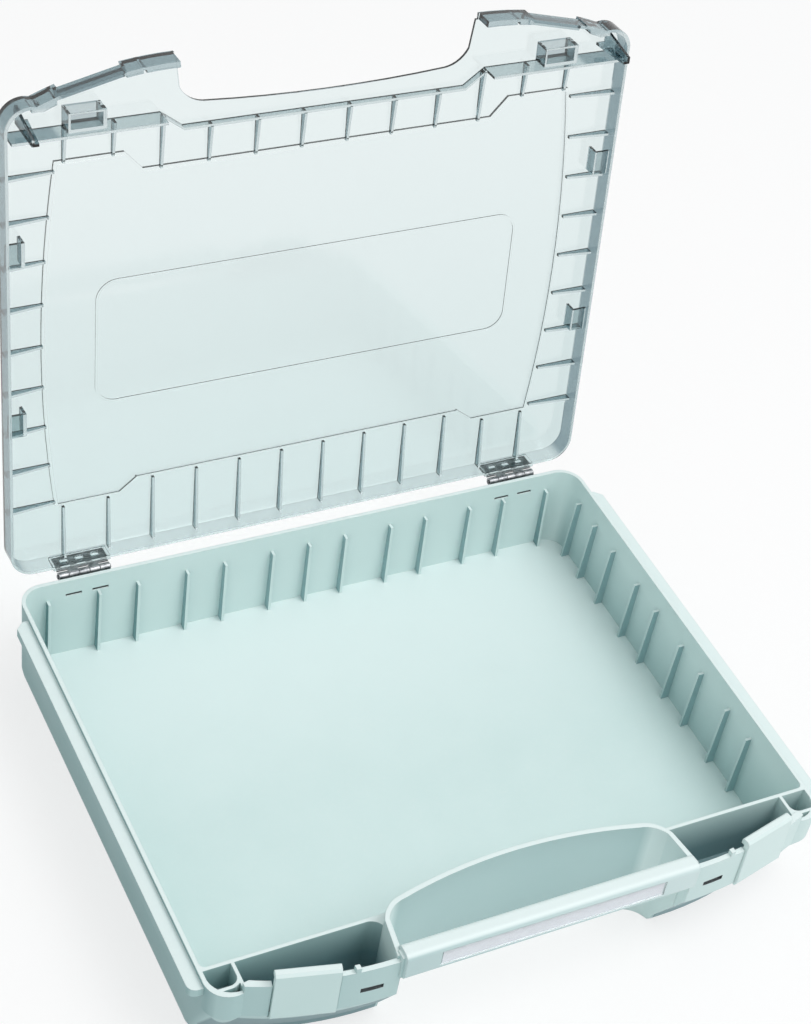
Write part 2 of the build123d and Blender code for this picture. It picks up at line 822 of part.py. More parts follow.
def lid_leaf():
    left = hinge_x - hinge_width / 2
    back = seat_face + leaf_thickness
    bottom = axis_z + leaf_root
    leaf = block(left, left + hinge_width, seat_face, back, bottom, axis_z + lid_leaf_rise)
    low = axis_z + window_rise
    for x in window_places():
        leaf -= block(x - window_width / 2, x + window_width / 2, seat_face - past, back + past, low,
                      low + window_height)
    for index in range(1, knuckles, 2):
        x, reach, ring = knuckle(index)
        leaf += ring + block(x - reach, x + reach, seat_face, back, axis_z, bottom + overlap)
    return leaf - hinge_bore()


def hinge_pin():
    return Pos(hinge_x, axis_y, axis_z) * rod(hinge_pin_radius, hinge_width + leaf_thickness)


def opened(solid):
    """Turn a lid piece from shut to open about the hinge pins."""
    return Pos(0, axis_y, axis_z) * Rot(-open_angle, 0, 0) * Pos(0, -axis_y, -axis_z) * solid


os.makedirs("parts", exist_ok=True)

pieces = {
    "base_tray": base_tray(),
    "handle_grip": handle_grip(),
    "label_card": label_card(),
    "label_window": label_window(),
    "lid_shell": opened(lid_shell()),
}
pairs = {
    "latch": latch(),
    "latch_pin": latch_pin(),
    "hinge_tray_leaf": tray_leaf(),
    "hinge_lid_leaf": opened(lid_leaf()),
    "hinge_pin": hinge_pin(),
}
for name, solid in pairs.items():
    pieces["right_" + name] = solid
    pieces["left_" + name] = mirrored(solid)
for name, solid in pieces.items():
    export_step(solid, "parts/" + name + ".step")
    print(name, round(solid.volume, 1))
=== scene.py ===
import bpy
import math
import numpy as np
from mathutils import Matrix

# Tool case: moulded tray, clear hinged lid, carrying handle and two snap latches.
# Metres, X right, Y towards the hinges, Z up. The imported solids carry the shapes, and this
# script gives them their finishes and sets the floor, the sky, the lamps and the camera.

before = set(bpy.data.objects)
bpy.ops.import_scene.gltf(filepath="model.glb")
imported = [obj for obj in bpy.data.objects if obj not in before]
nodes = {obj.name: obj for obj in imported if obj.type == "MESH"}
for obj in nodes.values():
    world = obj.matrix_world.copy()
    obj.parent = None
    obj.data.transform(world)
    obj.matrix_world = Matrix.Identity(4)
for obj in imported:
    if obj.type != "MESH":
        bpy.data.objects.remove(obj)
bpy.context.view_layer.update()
print("case loaded:", len(nodes), "solids")


# Node helpers

def newMaterial(name):
    # a material with an empty node tree
    material = bpy.data.materials.new(name)
    material.use_nodes = True
    tree = material.node_tree
    tree.nodes.clear()
    return material, tree


def addNode(tree, kind, **inputs):
    # a node with plain input values; an underscore stands for the space in a socket's name
    node = tree.nodes.new(kind)
    for name, value in inputs.items():
        node.inputs[name.replace("_", " ")].default_value = value
    return node


def link(tree, source, target):
    tree.links.new(source, target)


def math2(tree, operation, a, b=0.5, clamp=False):
    # one Math node; a and b are sockets or plain numbers
    node = tree.nodes.new("ShaderNodeMath")
    node.operation = operation
    node.use_clamp = clamp
    for socket, value in zip(node.inputs, (a, b)):
        if hasattr(value, "is_output"):
            link(tree, value, socket)
        else:
            socket.default_value = value
    return node.outputs[0]


def remap(tree, value, low, high, newLow=0.0, newHigh=1.0):
    # newLow at low, newHigh at high, straight between and held beyond; low may be the larger
    node = tree.nodes.new("ShaderNodeMapRange")
    link(tree, value, node.inputs["Value"])
    for name, number in (("From Min", low), ("From Max", high), ("To Min", newLow), ("To Max", newHigh)):
        node.inputs[name].default_value = number
    return node.outputs["Result"]


def mixColour(tree, factor, a, b, blend="MIX"):
    # a * (1 - factor) + b * factor, where MULTIPLY puts a * b for b
    node = tree.nodes.new("ShaderNodeMix")
    node.data_type = "RGBA"
    node.blend_type = blend
    for socket, value in ((node.inputs[0], factor), (node.inputs[6], a), (node.inputs[7], b)):
        if hasattr(value, "is_output"):
            link(tree, value, socket)
        elif isinstance(value, (int, float)):
            socket.default_value = value
        else:
            socket.default_value = (*value, 1.0)
    return node.outputs[2]


def product(tree, *values):
    # a * b * c and so on
    total = values[0]
    for value in values[1:]:
        total = math2(tree, "MULTIPLY", total, value)
    return total


def absolute(tree, value):
    return math2(tree, "ABSOLUTE", value)


def oneLess(tree, value):
    # 1 - value
    return math2(tree, "SUBTRACT", 1.0, value)


def parts(tree, vector):
    # x, y and z of a vector
    split = tree.nodes.new("ShaderNodeSeparateXYZ")
    link(tree, vector, split.inputs[0])
    return tuple(split.outputs)


def dotWith(tree, vector, other):
    # vector . other, with other a socket or three numbers
    dot = tree.nodes.new("ShaderNodeVectorMath")
    dot.operation = "DOT_PRODUCT"
    link(tree, vector, dot.inputs[0])
    if hasattr(other, "is_output"):
        link(tree, other, dot.inputs[1])
    else:
        dot.inputs[1].default_value = other
    return dot.outputs["Value"]


def noise(tree, vector, scale, detail, roughness):
    # Factor of a noise texture, about 0.5 on average
    texture = addNode(tree, "ShaderNodeTexNoise", Detail=detail, Roughness=roughness)
    link(tree, vector, texture.inputs["Vector"])
    if hasattr(scale, "is_output"):
        link(tree, scale, texture.inputs["Scale"])
    else:
        texture.inputs["Scale"].default_value = scale
    return texture.outputs["Fac"]


def stretched(tree, vector, scale):
    # the vector times one scale for each axis
    mapping = tree.nodes.new("ShaderNodeMapping")
    mapping.inputs["Scale"].default_value = scale
    link(tree, vector, mapping.inputs["Vector"])
    return mapping.outputs[0]


def bumped(tree, height, strength, distance, normal=None):
    # normal tilted by the slope of height
    bump = addNode(tree, "ShaderNodeBump", Strength=strength, Distance=distance)
    link(tree, height, bump.inputs["Height"])
    if normal is not None:
        link(tree, normal, bump.inputs["Normal"])
    return bump.outputs[0]


def mixShader(tree, factor, a, b):
    # shader a where factor is 0 and b where it is 1
    mix = tree.nodes.new("ShaderNodeMixShader")
    link(tree, factor, mix.inputs[0])
    link(tree, a.outputs[0], mix.inputs[1])
    link(tree, b.outputs[0], mix.inputs[2])
    return mix.outputs[0]


def finished(tree, shader):
    # the shader becomes the material's surface
    link(tree, shader, tree.nodes.new("ShaderNodeOutputMaterial").inputs["Surface"])


def newGroup(name, inputs, outputs):
    # a shader node group; inputs are {name: number}, with None for a vector, and of the
    # outputs only Normal is a vector
    group = bpy.data.node_groups.new(name, "ShaderNodeTree")
    for label, value in inputs.items():
        kind = "NodeSocketVector" if value is None else "NodeSocketFloat"
        socket = group.interface.new_socket(label, in_out="INPUT", socket_type=kind)
        if value is not None:
            socket.default_value = value
    for label in outputs:
        kind = "NodeSocketVector" if label == "Normal" else "NodeSocketFloat"
        group.interface.new_socket(label, in_out="OUTPUT", socket_type=kind)
    return group, group.nodes.new("NodeGroupInput").outputs, group.nodes.new("NodeGroupOutput").inputs


def placeGroup(tree, group, **values):
    # one use of a group, with sockets or plain numbers as its inputs
    node = tree.nodes.new("ShaderNodeGroup")
    node.node_tree = group
    for name, value in values.items():
        socket = node.inputs[name.replace("_", " ")]
        if hasattr(value, "is_output"):
            link(tree, value, socket)
        else:
            socket.default_value = value
    return node.outputs


# Shared effects

edgeValues = {"radius": 0.0006, "samples": 6}


def roundedEdge(values):
    # Mask is gain * (1 - n . m), where n is the flat normal and m the normal averaged over a small radius
    group, gin, gout = newGroup("roundedEdge", {"Gain": 3.0}, ["Mask", "Normal"])
    bevel = addNode(group, "ShaderNodeBevel", Radius=values["radius"])
    bevel.samples = values["samples"]
    flat = group.nodes.new("ShaderNodeNewGeometry").outputs["Normal"]
    turned = oneLess(group, dotWith(group, bevel.outputs[0], flat))
    link(group, math2(group, "MULTIPLY", turned, gin["Gain"], True), gout["Mask"])
    link(group, bevel.outputs[0], gout["Normal"])
    return group


grainValues = {"fine": (4.0, 0.6), "broad": (26.0, 3.0, 0.5), "patches": (0.3, 0.7), "thinnest": 0.75}


def mouldGrain(values):
    # Height is fine noise * (0.75 to 1 by coarse patches), a spark-eroded grain
    group, gin, gout = newGroup("mouldGrain", {"Vector": None, "Scale": 2600.0}, ["Height", "Patches"])
    fine = noise(group, gin["Vector"], gin["Scale"], *values["fine"])
    broad = noise(group, gin["Vector"], *values["broad"])
    thin = remap(group, broad, *values["patches"], values["thinnest"], 1.0)
    link(group, product(group, fine, thin), gout["Height"])
    link(group, remap(group, broad, *values["patches"]), gout["Patches"])
    return group


dustValues = {"up": (0.6, 1.0), "specks": (420.0, 5.0, 0.7), "cut": (0.52, 0.72)}


def settledDust(values):
    # Mask is amount * up * specks, so dust lies where the surface looks up
    group, gin, gout = newGroup("settledDust", {"Vector": None, "Amount": 0.2}, ["Mask"])
    facing = parts(group, group.nodes.new("ShaderNodeNewGeometry").outputs["Normal"])
    up = remap(group, facing[2], *values["up"])
    cut = remap(group, noise(group, gin["Vector"], *values["specks"]), *values["cut"])
    link(group, math2(group, "MULTIPLY", product(group, up, cut), gin["Amount"], True), gout["Mask"])
    return group


scuffValues = {"stretch": (14.0, 900.0, 60.0), "noise": (1.0, 2.0, 0.5), "cut": (0.66, 0.74)}


def scuffs(values):
    # long shallow scratches: a noise stretched along X and turned about Z, cut to thin lines
    group, gin, gout = newGroup("scuffs", {"Vector": None, "Turn": 0.4}, ["Mask"])
    turn = group.nodes.new("ShaderNodeVectorRotate")
    turn.rotation_type = "Z_AXIS"
    link(group, gin["Vector"], turn.inputs["Vector"])
    link(group, gin["Turn"], turn.inputs["Angle"])
    lines = noise(group, stretched(group, turn.outputs[0], values["stretch"]), *values["noise"])
    link(group, remap(group, lines, *values["cut"]), gout["Mask"])
    return group


# Pairs are where a mask is none and where it is full. Heights and depths are the lid's own, from its axis.
lidValues = {
    "angle": math.radians(96.4),
    "axis": (0.0, 0.1522, 0.0563),
    "flat": (0.75, 0.25),             # share of the normal along the lid's up
    "hung": (0.0122, 0.0118),         # below the band
    "hungLeast": 0.6,
    "clips": (-0.2875, -0.2895),      # the clips and the rest of the front edge
    "clipsMore": 0.4,
    "lipFacing": (0.6, 0.8),
    "lipDepth": (-0.250, -0.254),
    "lipHalf": (0.150, 0.147),
    "lipLess": 0.45,
    "panelHeight": (0.0121, 0.0124),
    "panelFront": (-0.2545, -0.2525),
    "panelRear": (-0.0365, -0.0385),
    "panelLess": 0.85,
    "skirt": (-0.0085, -0.0062),
    "skirtLess": 0.75,
    "tint": (-0.27, -0.02),
}


def lidSlope(values):
    # Mask, for painted shade, is one on faces turned from the lid's flat and on all that hangs below the
    # band, less on the panel's step, the front lip and the rear skirt. With up n and depth v of the lid,
    # height is n . (p - axis) and depth is v . (p - axis). Thick is 1 - panel. Low grows towards the hinges.
    group, gin, gout = newGroup("lidSlope", {"Vector": None, "Normal": None}, ["Mask", "Thick", "Low"])
    sine, cosine = math.sin(values["angle"]), math.cos(values["angle"])
    up, back = (0.0, sine, cosine), (0.0, cosine, -sine)
    place = group.nodes.new("ShaderNodeVectorMath")
    place.operation = "SUBTRACT"
    link(group, gin["Vector"], place.inputs[0])
    place.inputs[1].default_value = values["axis"]
    height, depth = dotWith(group, place.outputs[0], up), dotWith(group, place.outputs[0], back)
    side = absolute(group, parts(group, gin["Vector"])[0])

    hung = remap(group, height, *values["hung"])
    clips = remap(group, depth, *values["clips"])
    more = math2(group, "ADD", product(group, clips, values["clipsMore"]), values["hungLeast"])
    turned = remap(group, absolute(group, dotWith(group, gin["Normal"], up)), *values["flat"])
    turned = math2(group, "MAXIMUM", turned, product(group, hung, more))

    lip = remap(group, absolute(group, dotWith(group, gin["Normal"], back)), *values["lipFacing"])
    lip = product(group, lip, remap(group, depth, *values["lipDepth"]))
    lip = math2(group, "SUBTRACT", lip, clips, True)
    lip = product(group, lip, hung, remap(group, side, *values["lipHalf"]))
    turned = product(group, turned, oneLess(group, product(group, lip, values["lipLess"])))

    front, rear = (remap(group, depth, *values[key]) for key in ("panelFront", "panelRear"))
    panel = product(group, remap(group, height, *values["panelHeight"]), front, rear, values["panelLess"])
    skirt = product(group, remap(group, depth, *values["skirt"]), values["skirtLess"])
    keep = oneLess(group, math2(group, "MAXIMUM", panel, skirt))
    link(group, product(group, turned, keep), gout["Mask"])
    link(group, oneLess(group, panel), gout["Thick"])
    link(group, remap(group, depth, *values["tint"]), gout["Low"])
    return group


# The pocket's inboard wall is two straight runs and its front one, each from, to and the line's ends.
wellValues = {
    "inboard": (-0.157, -0.133, 0.0843, 0.0812),
    "inboardTurn": (-0.133, -0.124, 0.0, 0.008),
    "inboardSoft": (0.0, 0.0006),
    "outboard": (0.1735, 0.1725),
    "front": (0.086, 0.166, -0.1553, -0.1378),
    "frontSoft": (0.0, 0.0012),
    "rear": (-0.1228, -0.1234),
    "low": (0.0575, 0.034),
}


def wellShade(values):
    # Mask, for painted shade, is one between the front pocket's walls, times how far it lies below the rim
    group, gin, gout = newGroup("wellShade", {"Vector": None}, ["Mask"])
    x, y, z = parts(group, gin["Vector"])
    side = absolute(group, x)
    inboard = remap(group, y, *values["inboard"])
    inboard = math2(group, "SUBTRACT", inboard, remap(group, y, *values["inboardTurn"]))
    pastWall = remap(group, math2(group, "SUBTRACT", side, inboard), *values["inboardSoft"])
    pastFront = math2(group, "SUBTRACT", y, remap(group, side, *values["front"]))
    pastFront = remap(group, pastFront, *values["frontSoft"])
    mask = product(group, pastWall, remap(group, side, *values["outboard"]), pastFront,
                   remap(group, y, *values["rear"]), remap(group, z, *values["low"]))
    link(group, mask, gout["Mask"])
    return group


topValues = {"up": (0.55, 0.9), "height": (0.044, 0.048)}


def paleTop(values):
    # Mask, for painted light, is up * high: rims, rails and other tops near the case's upper edge
    group, gin, gout = newGroup("paleTop", {"Vector": None, "Normal": None}, ["Mask"])
    up = remap(group, parts(group, gin["Normal"])[2], *values["up"])
    high = remap(group, parts(group, gin["Vector"])[2], *values["height"])
    link(group, product(group, up, high), gout["Mask"])
    return group


# Pairs as for the lid. Four numbers are a ramp's two ends and its values there.
sideValues = {
    "away": (0.06, 0.10),
    "upright": (0.75, 0.45),
    "leftwards": (-0.165, 0.15, 1.0, 0.12),
    "archHalf": (0.0845, 0.0830),
    "archFront": (-0.150, -0.146),
    "archShare": 0.85,
    "looksLeft": (-0.7, -0.95),
    "leftFlank": (-0.160, -0.164),
    "rightWall": (0.150, 0.155),
    "rightDepth": (0.045, 0.010, 0.1, 1.0),
    "floorTop": (0.006, 0.004),
    "floorBack": (0.0, 0.14),
    "floorUp": (0.8, 0.95),
    "ribTop": (0.0475, 0.0465),
    "ribFront": (-0.1215, -0.1205),
    "across": (0.6, 0.9),
    "rearRibs": (0.1365, 0.1375),
    "rearEnd": (0.1625, 0.1610),
    "sideRibs": (0.1645, 0.1655),
    "sideEnd": (0.1345, 0.1330),
}


def sideShade(values):
    # Four masks, in turn. Painted shade on upright faces that look away from the middle, by N.x x + N.y y,
    # more to the left; within the arch's width and behind archFront it is at least archShare, so on the
    # middle of the rear wall too.
    # Painted shade on the ribs' sides: faces inside the compartment, near its rear or side wall, that stand
    # across that wall.
    # Painted shade on upright faces that look to -X at both sides. Painted light on the floor, more towards
    # the hinges.
    inputs, outputs = {"Vector": None, "Normal": None}, ["Outer", "Ribs", "Flank", "Far"]
    group, gin, gout = newGroup("sideShade", inputs, outputs)
    x, y, z = parts(group, gin["Vector"])
    nx, ny, nz = parts(group, gin["Normal"])
    side = absolute(group, x)

    def ramp(socket, key):
        return remap(group, socket, *values[key])

    away = math2(group, "ADD", product(group, x, nx), product(group, y, ny))
    arch = product(group, ramp(side, "archHalf"), ramp(y, "archFront"), values["archShare"])
    strength = math2(group, "MAXIMUM", ramp(x, "leftwards"), arch)
    link(group, product(group, ramp(away, "away"), ramp(nz, "upright"), strength), gout["Outer"])

    flank = product(group, ramp(nx, "looksLeft"), ramp(x, "leftFlank"))
    inner = product(group, ramp(nx, "looksLeft"), ramp(x, "rightWall"), ramp(z, "rightDepth"))
    link(group, math2(group, "MAXIMUM", flank, inner), gout["Flank"])
    link(group, product(group, ramp(z, "floorTop"), ramp(y, "floorBack"), ramp(nz, "floorUp")), gout["Far"])

    byRear = product(group, ramp(y, "rearRibs"), ramp(absolute(group, nx), "across"), ramp(side, "rearEnd"))
    bySide = product(group, ramp(side, "sideRibs"), ramp(absolute(group, ny), "across"), ramp(y, "sideEnd"))
    ribs = math2(group, "MAXIMUM", byRear, bySide)
    link(group, product(group, ribs, ramp(z, "ribTop"), ramp(y, "ribFront")), gout["Ribs"])
    return group


# Each slot is a box of |x|, y and z.
slotValues = {
    "soft": 0.00005,
    "front": ((0.0919, 0.1041), (-0.1566, -0.150), (0.0489, 0.0521)),
    "rear": ((0.120, 0.150), (0.1464, 0.152), (0.0464, 0.0482)),
}


def slotShade(values):
    # Mask, for painted shade, is one inside the narrow slots of the front wall and of the hinge tongues
    group, gin, gout = newGroup("slotShade", {"Vector": None}, ["Mask"])
    x, y, z = parts(group, gin["Vector"])
    side, soft = absolute(group, x), values["soft"]

    def inBox(limits):
        ramps = []
        for socket, (low, high) in zip((side, y, z), limits):
            ramps += [remap(group, socket, low - soft, low), remap(group, socket, high + soft, high)]
        return product(group, *ramps)

    link(group, math2(group, "MAXIMUM", inBox(values["front"]), inBox(values["rear"])), gout["Mask"])
    return group


edgeGroup, grainGroup, dustGroup = roundedEdge(edgeValues), mouldGrain(grainValues), settledDust(dustValues)
scuffGroup, slopeGroup, wellGroup = scuffs(scuffValues), lidSlope(lidValues), wellShade(wellValues)
topGroup, sideGroup, slotGroup = paleTop(topValues), sideShade(sideValues), slotShade(slotValues)
print("shared effects made")


# Finishes

trayFinish = {
    "colour": (0.68, 0.825, 0.81),
    "deeper": (0.655, 0.805, 0.79),
    # painted highlight along rounded edges
    "edge": (0.86, 0.94, 0.93),
    "edgeShare": 0.55,
    "edgeGain": 2.2,
    # painted light on tops near the upper edge
    "top": (0.80, 0.90, 0.89),
    "topShare": 0.8,
    # painted shade in the front pocket
    "well": (0.18, 0.31, 0.34),
    "wellShare": 0.85,
    "outer": (0.58, 0.69, 0.70),      # share of the colour left under painted shade on outer faces
    "rib": (0.45, 0.57, 0.60),        # and under painted shade on the sides of the ribs
    "flank": (0.62, 0.70, 0.71),      # and under painted shade on the sides that look left
    "far": (0.80, 0.91, 0.90),        # painted light on the floor near the hinges
    # painted shade, near black, in the narrow slots
    "slot": (0.05, 0.06, 0.065),
    "dust": (0.84, 0.88, 0.87),
    "dustAmount": 0.10,
    "roughness": 0.46,
    "roughnessDrift": 0.06,
    "scuffShine": 0.05,
    "grain": 0.035,
    "grainDepth": 0.0004,
    "index": 1.49,
}
# the latches keep more of their colour under the painted shade on outer faces
latchFinish = dict(
    trayFinish, colour=(0.69, 0.83, 0.815), deeper=(0.67, 0.815, 0.80), outer=(0.80, 0.87, 0.87),
    roughness=0.42)
# the grip's paler edge colour is a painted highlight too
gripFinish = dict(
    trayFinish, colour=(0.72, 0.84, 0.835), deeper=(0.70, 0.825, 0.82), edge=(0.88, 0.95, 0.94),
    roughness=0.40)


def mouldedPlastic(name, finish):
    # colour drifts between two shades, then each mask m mixes its tint t in: colour * (1 - m) + t * m
    material, tree = newMaterial(name)
    own = tree.nodes.new("ShaderNodeTexCoord").outputs
    place, normal = own["Object"], own["Normal"]
    grain = placeGroup(tree, grainGroup, Vector=place)
    edge = placeGroup(tree, edgeGroup, Gain=finish["edgeGain"])
    top = placeGroup(tree, topGroup, Vector=place, Normal=normal)["Mask"]
    well = placeGroup(tree, wellGroup, Vector=place)["Mask"]
    side = placeGroup(tree, sideGroup, Vector=place, Normal=normal)
    slot = placeGroup(tree, slotGroup, Vector=place)["Mask"]
    dust = placeGroup(tree, dustGroup, Vector=place, Amount=finish["dustAmount"])["Mask"]
    scuff = placeGroup(tree, scuffGroup, Vector=place)["Mask"]
    colour = mixColour(tree, grain["Patches"], finish["colour"], finish["deeper"])
    # painted light on tops and on the floor by the hinges, painted highlight on edges; painted shade in the
    # pocket, on outer faces, rib sides, left-looking sides and slots
    colour = mixColour(tree, product(tree, top, finish["topShare"]), colour, finish["top"])
    colour = mixColour(tree, product(tree, edge["Mask"], finish["edgeShare"]), colour, finish["edge"])
    colour = mixColour(tree, product(tree, well, finish["wellShare"]), colour, finish["well"])
    for label, key in (("Outer", "outer"), ("Ribs", "rib"), ("Flank", "flank")):
        colour = mixColour(tree, side[label], colour, finish[key], "MULTIPLY")
    colour = mixColour(tree, side["Far"], colour, finish["far"])
    colour = mixColour(tree, slot, colour, finish["slot"])
    colour = mixColour(tree, dust, colour, finish["dust"])
    surface = addNode(tree, "ShaderNodeBsdfPrincipled", IOR=finish["index"])
    link(tree, colour, surface.inputs["Base Color"])
    low = finish["roughness"]
    rough = remap(tree, grain["Patches"], 0.0, 1.0, low, low + finish["roughnessDrift"])
    rough = math2(tree, "SUBTRACT", rough, product(tree, scuff, finish["scuffShine"]))
    link(tree, rough, surface.inputs["Roughness"])
    tilted = bumped(tree, grain["Height"], finish["grain"], finish["grainDepth"], edge["Normal"])
    link(tree, tilted, surface.inputs["Normal"])
    finished(tree, surface.outputs[0])
    return material


lidFinish = {
    "colour": (0.845, 0.915, 0.915),  # what one wall lets through at the front edge
    "low": (0.70, 0.815, 0.815),      # and by the hinges
    "edge": (0.20, 0.27, 0.29),       # painted shade on bends and edges
    "edgeGain": 2.6,
    "across": (0.24, 0.33, 0.36),     # painted shade on fins, walls and lips, seen through their depth
    "shade": (0.93, 0.96, 0.96),      # what lamps lose on their way through
    "smears": (18.0, 3.0, 0.55),
    "smearCut": (0.35, 0.7),
    "roughness": 0.045,
    "roughnessDrift": 0.04,
    "scuffTurn": 1.1,
    "scuffDull": 0.12,
    "wave": 0.06,
    "waveDepth": 0.0006,
    "index": 1.49,
}
# the window's edges and walls take a lighter painted shade
windowFinish = dict(
    lidFinish, colour=(0.95, 0.97, 0.98), low=(0.95, 0.97, 0.98), edge=(0.80, 0.86, 0.88),
    across=(0.9, 0.93, 0.95), roughness=0.06)


def clearPlastic(name, finish):
    # clear moulding: light tint on the flat, painted grey shade where edges and fins turn it; lamps pass
    # with a small loss
    material, tree = newMaterial(name)
    own = tree.nodes.new("ShaderNodeTexCoord").outputs
    place = own["Object"]
    edge = placeGroup(tree, edgeGroup, Gain=finish["edgeGain"])["Mask"]
    slope = placeGroup(tree, slopeGroup, Vector=place, Normal=own["Normal"])
    scuff = placeGroup(tree, scuffGroup, Vector=place, Turn=finish["scuffTurn"])["Mask"]
    smears = noise(tree, place, *finish["smears"])
    colour = mixColour(tree, slope["Low"], finish["colour"], finish["low"])
    colour = mixColour(tree, slope["Mask"], colour, finish["across"])
    colour = mixColour(tree, product(tree, edge, slope["Thick"]), colour, finish["edge"])
    surface = addNode(tree, "ShaderNodeBsdfPrincipled", IOR=finish["index"], Transmission_Weight=1.0)
    link(tree, colour, surface.inputs["Base Color"])
    low = finish["roughness"]
    rough = remap(tree, smears, *finish["smearCut"], low, low + finish["roughnessDrift"])
    rough = math2(tree, "ADD", rough, product(tree, scuff, finish["scuffDull"]))
    link(tree, rough, surface.inputs["Roughness"])
    link(tree, bumped(tree, smears, finish["wave"], finish["waveDepth"]), surface.inputs["Normal"])
    through = addNode(tree, "ShaderNodeBsdfTransparent")
    through.inputs["Color"].default_value = (*finish["shade"], 1.0)
    shadow = tree.nodes.new("ShaderNodeLightPath").outputs["Is Shadow Ray"]
    finished(tree, mixShader(tree, shadow, surface, through))
    return material


steelFinish = {
    "colour": (0.34, 0.35, 0.36),
    "dark": (0.13, 0.14, 0.15),
    "bright": (0.70, 0.72, 0.73),
    "edgeGain": 2.0,
    "along": (40.0, 1400.0, 1400.0),  # brushing runs along X
    "brush": (1.0, 3.0, 0.6),
    "brushCut": (0.3, 0.7),
    "blots": (240.0, 4.0, 0.6),
    "blotCut": (0.42, 0.66),
    "roughness": (0.24, 0.40),
    "groove": 0.12,
    "grooveDepth": 0.0002,
}
pinFinish = dict(
    steelFinish, colour=(0.13, 0.14, 0.15), dark=(0.06, 0.06, 0.07), bright=(0.45, 0.46, 0.47),
    roughness=(0.28, 0.44), along=(1800.0, 90.0, 90.0))


def brushedSteel(name, finish):
    # stretched noise gives the brushing; edges are rubbed bright, blots stay dark
    material, tree = newMaterial(name)
    place = tree.nodes.new("ShaderNodeTexCoord").outputs["Object"]
    brush = noise(tree, stretched(tree, place, finish["along"]), *finish["brush"])
    blots = remap(tree, noise(tree, place, *finish["blots"]), *finish["blotCut"])
    edge = placeGroup(tree, edgeGroup, Gain=finish["edgeGain"])
    colour = mixColour(tree, blots, finish["colour"], finish["dark"])
    colour = mixColour(tree, edge["Mask"], colour, finish["bright"])
    surface = addNode(tree, "ShaderNodeBsdfPrincipled", Metallic=1.0)
    link(tree, colour, surface.inputs["Base Color"])
    link(tree, remap(tree, brush, *finish["brushCut"], *finish["roughness"]), surface.inputs["Roughness"])
    tilted = bumped(tree, brush, finish["groove"], finish["grooveDepth"], edge["Normal"])
    link(tree, tilted, surface.inputs["Normal"])
    finished(tree, surface.outputs[0])
    return material


cardFinish = {
    "colour": (0.93, 0.94, 0.98),
    "fibre": (0.88, 0.90, 0.95),
    "stretch": (500.0, 900.0, 1700.0),
    "noise": (1.0, 5.0, 0.65),
    "cut": (0.4, 0.65),
    "roughness": 0.75,
    "relief": 0.1,
    "reliefDepth": 0.0002,
}


def paperCard(name, finish):
    # uncoated card: short fibres from a stretched noise
    material, tree = newMaterial(name)
    place = tree.nodes.new("ShaderNodeTexCoord").outputs["Object"]
    fibre = noise(tree, stretched(tree, place, finish["stretch"]), *finish["noise"])
    colour = mixColour(tree, remap(tree, fibre, *finish["cut"]), finish["colour"], finish["fibre"])
    surface = addNode(tree, "ShaderNodeBsdfPrincipled", Roughness=finish["roughness"])
    link(tree, colour, surface.inputs["Base Color"])
    link(tree, bumped(tree, fibre, finish["relief"], finish["reliefDepth"]), surface.inputs["Normal"])
    finished(tree, surface.outputs[0])
    return material


finishes = {
    "trayPlastic": mouldedPlastic("trayPlastic", trayFinish),
    "latchPlastic": mouldedPlastic("latchPlastic", latchFinish),
    "gripPlastic": mouldedPlastic("gripPlastic", gripFinish),
    "clearLid": clearPlastic("clearLid", lidFinish),
    "clearWindow": clearPlastic("clearWindow", windowFinish),
    "hingeSteel": brushedSteel("hingeSteel", steelFinish),
    "pinSteel": brushedSteel("pinSteel", pinFinish),
    "blankCard": paperCard("blankCard", cardFinish),
}

dressed = {
    "base_tray": "trayPlastic", "handle_grip": "gripPlastic", "label_card": "blankCard",
    "label_window": "clearWindow", "lid_shell": "clearLid",
}
for hand in ("left", "right"):
    dressed[hand + "_latch"] = "latchPlastic"
    dressed[hand + "_latch_pin"] = dressed[hand + "_hinge_pin"] = "pinSteel"
    dressed[hand + "_hinge_tray_leaf"] = dressed[hand + "_hinge_lid_leaf"] = "hingeSteel"
for nodeName, finishName in dressed.items():
    shape = nodes[nodeName]
    if not shape.material_slots:
        shape.data.materials.append(None)
    for materialSlot in shape.material_slots:
        materialSlot.material = finishes[finishName]
print("finishes on", len(dressed), "solids")


# Floor, lamps and sky

studio = {
    "floorColour": (0.98, 0.98, 0.98),
    "cloud": (3.0, 2.0, 0.5),
    "cloudShade": 0.985,
    "floorSize": 12.0,
    "floorWhite": 0.70,
    "sky": 0.60,
    "skyColour": (0.97, 0.99, 1.0),
    "keyPlace": (0.9, -1.0, 2.5),
    "keySize": 1.8,
    "keyPower": 36.0,
    "fillPlace": (-1.6, -1.2, 1.4),
    "fillSize": 1.8,
    "fillPower": 3.0,
    "aim": (0.0, 0.0, 0.08),
}


def seenDirectly(tree):
    # one for rays from the camera, off a mirror or through clear plastic
    rays = tree.nodes.new("ShaderNodeLightPath")
    seen = math2(tree, "MAXIMUM", rays.outputs["Is Camera Ray"], rays.outputs["Is Glossy Ray"])
    return math2(tree, "MAXIMUM", seen, rays.outputs["Is Transmission Ray"])


